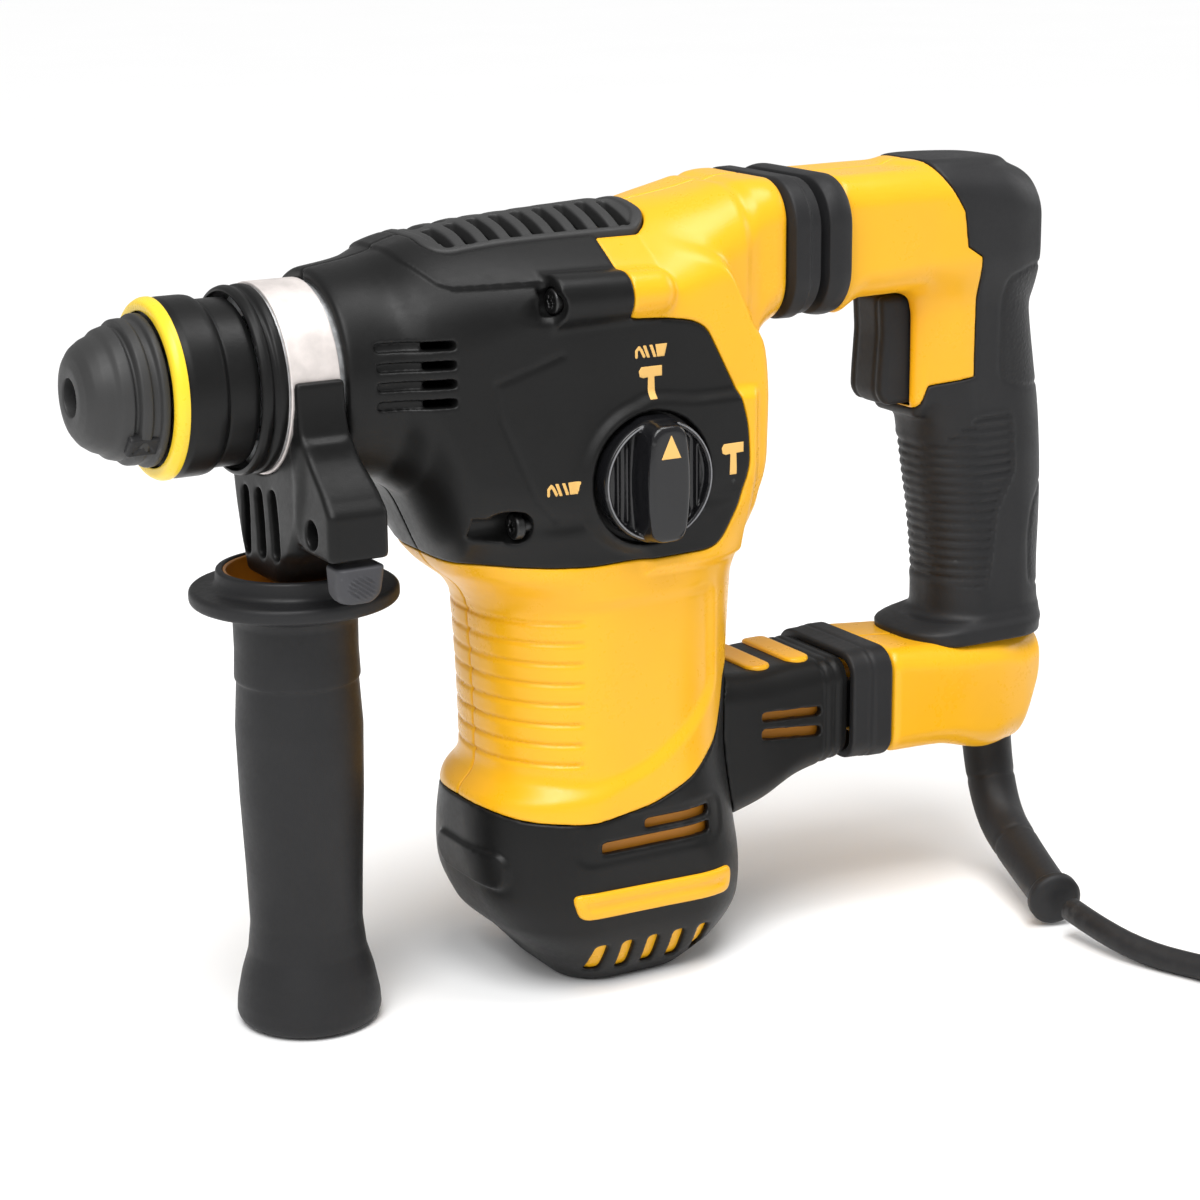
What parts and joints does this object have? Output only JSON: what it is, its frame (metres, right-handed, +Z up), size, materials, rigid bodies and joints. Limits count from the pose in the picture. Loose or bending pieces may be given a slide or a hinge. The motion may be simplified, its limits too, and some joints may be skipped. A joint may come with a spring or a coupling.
{
  "type": "rotary hammer",
  "caption": "Corded L-shaped rotary and chipping hammer with side handle, damped rear D-handle, mode knob, drive gears and coiled mains cord.",
  "frame": {"origin": "on the barrel axis at the mouth of the tool holder's shank socket", "axes": "+X from the socket towards the rear handle, +Z up, -Y the side with the mode knob"},
  "size_m": [0.4649, 0.2605, 0.2486],
  "materials": {
    "black_plastic": "satin moulded plastic",
    "yellow_plastic": "semi-gloss moulded plastic",
    "soft_black": "matt rubber",
    "bright_steel": "brushed",
    "hard_steel": "ground and oiled",
    "cast_alloy": "cast",
    "copper": "enamelled wire",
    "carbon": "pressed carbon",
    "amber_plastic": "moulded plastic",
    "grey_plastic": "moulded plastic"
  },
  "bodies": {
    "housing": {"gear_housing_left": "black_plastic", "gear_housing_right": "black_plastic", "top_vent_insert": "black_plastic", "main_housing_left": "yellow_plastic", "main_housing_right": "yellow_plastic", "motor_end_cap": "black_plastic", "cap_trim_strips": "yellow_plastic", "rear_bridge": "black_plastic", "bridge_inserts": "yellow_plastic", "housing_screws": "hard_steel", "collar_lip": "black_plastic", "nose_collar": "cast_alloy", "gear_case": "cast_alloy", "gear_plate": "cast_alloy", "bearings": "hard_steel", "crank_shaft": "hard_steel", "connecting_rod": "cast_alloy", "piston": "cast_alloy", "stator_core": "hard_steel", "field_coils": "copper", "brush_holders": "amber_plastic", "carbon_brushes": "carbon", "pivot_pin": "hard_steel", "handle_cuff": "soft_black", "bellows": "soft_black", "damper_spring": "hard_steel", "cord": "soft_black", "cord_coil": "soft_black", "plug": "soft_black"},
    "handle_mount": {"clamp_band": "bright_steel", "clamp_block": "black_plastic", "clamp_bolt": "hard_steel"},
    "hand_grip": {"side_grip": "soft_black"},
    "release_tab": {"depth_release": "grey_plastic"},
    "spindle": {"tool_holder": "hard_steel", "dust_cap": "soft_black", "locking_balls": "hard_steel", "cylinder": "hard_steel", "bevel_ring_gear": "hard_steel", "sleeve_spring": "hard_steel"},
    "sleeve": {"locking_sleeve": "black_plastic", "sleeve_ring": "yellow_plastic"},
    "striker": {"striker": "hard_steel"},
    "impact_bolt": {"impact_bolt": "hard_steel"},
    "armature": {"armature_shaft": "hard_steel", "armature_core": "hard_steel", "commutator": "copper", "fan": "grey_plastic"},
    "intermediate": {"intermediate_gear": "hard_steel", "intermediate_shaft": "hard_steel"},
    "crank_gear": {"crank_gear": "hard_steel"},
    "knob": {"mode_knob": "black_plastic"},
    "rear_handle": {"handle_left": "yellow_plastic", "handle_right": "yellow_plastic", "grip_overmould": "soft_black", "grip_flange": "soft_black", "switch": "grey_plastic", "cord_boot": "soft_black"},
    "trigger": {"trigger": "soft_black"}
  },
  "joints": [
    {"name": "armature_spin", "type": "hinge", "parent": "housing", "child": "armature", "pos_m": [0.1605, 0, -0.1], "axis": [0, 0, 1], "continuous": true},
    {"name": "intermediate_spin", "type": "hinge", "parent": "housing", "child": "intermediate", "pos_m": [0.13515, 0, -0.05], "axis": [0, 0, 1], "continuous": true},
    {"name": "crank_gear_spin", "type": "hinge", "parent": "housing", "child": "crank_gear", "pos_m": [0.1839, 0, -0.05], "axis": [0, 0, 1], "continuous": true},
    {"name": "spindle_spin", "type": "hinge", "parent": "housing", "child": "spindle", "pos_m": [0.05, 0, 0], "axis": [1, 0, 0], "continuous": true},
    {"name": "sleeve_slide", "type": "slide", "parent": "spindle", "child": "sleeve", "axis": [1, 0, 0], "range_m": [0, 0.0065], "stiffness_N_per_m": 900, "springref_m": -0.004, "deforming": ["sleeve_spring"]},
    {"name": "striker_slide", "type": "slide", "parent": "housing", "child": "striker", "axis": [1, 0, 0], "range_m": [-0.004, 0.004]},
    {"name": "impact_bolt_slide", "type": "slide", "parent": "housing", "child": "impact_bolt", "axis": [1, 0, 0], "range_m": [-0.003, 0.004]},
    {"name": "mode_select", "type": "hinge", "parent": "housing", "child": "knob", "pos_m": [0.1605, -0.045, -0.0345], "axis": [0, -1, 0], "range_deg": [-90, 90]},
    {"name": "handle_swivel", "type": "hinge", "parent": "housing", "child": "handle_mount", "pos_m": [0.059, 0, 0], "axis": [1, 0, 0], "range_deg": [-180, 180]},
    {"name": "grip_twist", "type": "hinge", "parent": "handle_mount", "child": "hand_grip", "pos_m": [0.062, 0, -0.12], "axis": [0, 0, 1], "range_deg": [-180, 180]},
    {"name": "depth_release_press", "type": "slide", "parent": "handle_mount", "child": "release_tab", "axis": [0, 0, 1], "range_m": [0, 0.0012], "stiffness_N_per_m": 1200, "springref_m": -0.0015},
    {"name": "rear_handle_damping", "type": "hinge", "parent": "housing", "child": "rear_handle", "pos_m": [0.255, 0, -0.126], "axis": [0, -1, 0], "range_deg": [0, 1.8], "stiffness_Nm_per_rad": 160, "springref_deg": -2.86, "deforming": ["bellows", "damper_spring"]},
    {"name": "trigger_press", "type": "slide", "parent": "rear_handle", "child": "trigger", "axis": [1, 0, 0], "range_m": [0, 0.007], "stiffness_N_per_m": 700, "springref_m": -0.006}
  ],
  "couplings": [
    {"joint": "intermediate_spin", "follows": "armature_spin", "ratio": -0.18182},
    {"joint": "crank_gear_spin", "follows": "armature_spin", "ratio": -0.2},
    {"joint": "spindle_spin", "follows": "armature_spin", "ratio": 0.060606}
  ]
}
